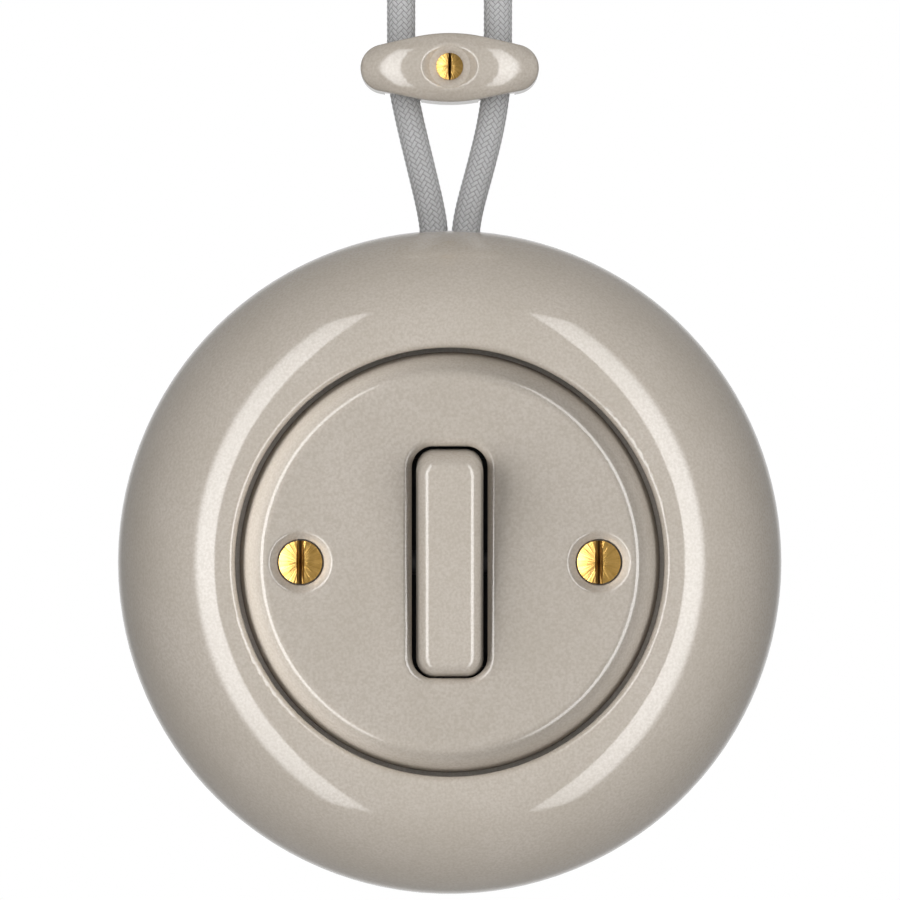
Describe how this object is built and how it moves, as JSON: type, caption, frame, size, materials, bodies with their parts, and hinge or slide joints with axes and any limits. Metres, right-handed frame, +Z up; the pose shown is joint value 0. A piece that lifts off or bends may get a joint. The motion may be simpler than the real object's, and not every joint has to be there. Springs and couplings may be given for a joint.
{
  "type": "porcelain button switch",
  "caption": "Round surface-mounted porcelain switch with a slim rocker, slotted brass screws, twin braided cords and porcelain cord clips.",
  "frame": {"origin": "centre of the back face, on the wall", "axes": "+Y into the wall, so the front looks along -Y; +Z up, towards the cords; +X to the right seen from the front"},
  "size_m": [0.1, 0.0561, 0.165],
  "materials": {
    "glaze": "glossy glaze",
    "brass": "turned, bright",
    "base_ceramic": "unglazed",
    "steel": "zinc plated",
    "housing_plastic": "moulded",
    "pale_plastic": "moulded",
    "silver": "bright",
    "rubber": "matt",
    "braid": "braided textile",
    "live_insulation": "extruded",
    "neutral_insulation": "extruded",
    "core_insulation": "extruded",
    "copper": "bright strands"
  },
  "bodies": {
    "base": {"porcelain_ring": "glaze", "centre_plate": "glaze", "cable_cleat": "glaze", "upper_cleat": "glaze", "cover_screws": "brass", "cleat_screws": "brass", "common_contact": "brass", "upper_contact": "brass", "lower_contact": "brass", "terminal_common": "brass", "terminal_upper": "brass", "terminal_lower": "brass", "back_base": "base_ceramic", "mounting_strap": "steel", "strap_screws": "steel", "housing_rivets": "steel", "pivot_pin": "steel", "terminal_screws": "steel", "mechanism_housing": "housing_plastic", "housing_lid": "housing_plastic", "neutral_connector": "pale_plastic", "fixed_rivets": "silver", "cord_grommet": "rubber", "cord_end_sleeves": "rubber", "cord_left": "braid", "cord_right": "braid", "live_cores": "live_insulation", "neutral_cores": "neutral_insulation", "cord_end_cores": "core_insulation", "cord_end_strands": "copper"},
    "rocker": {"rocker_button": "glaze", "rocker_cradle": "housing_plastic", "toggle_spring": "steel", "plunger": "pale_plastic"},
    "blade": {"contact_blade": "brass", "blade_rivets": "silver"}
  },
  "joints": [
    {"name": "rocker_tilt", "type": "hinge", "parent": "base", "child": "rocker", "pos_m": [0, -0.0315, 0], "axis": [1, 0, 0], "range_deg": [-9.4, 0]},
    {"name": "blade_tilt", "type": "hinge", "parent": "base", "child": "blade", "pos_m": [0, -0.014, 0], "axis": [1, 0, 0], "range_deg": [0, 9.4]}
  ],
  "couplings": [
    {"joint": "blade_tilt", "follows": "rocker_tilt", "ratio": -1}
  ]
}
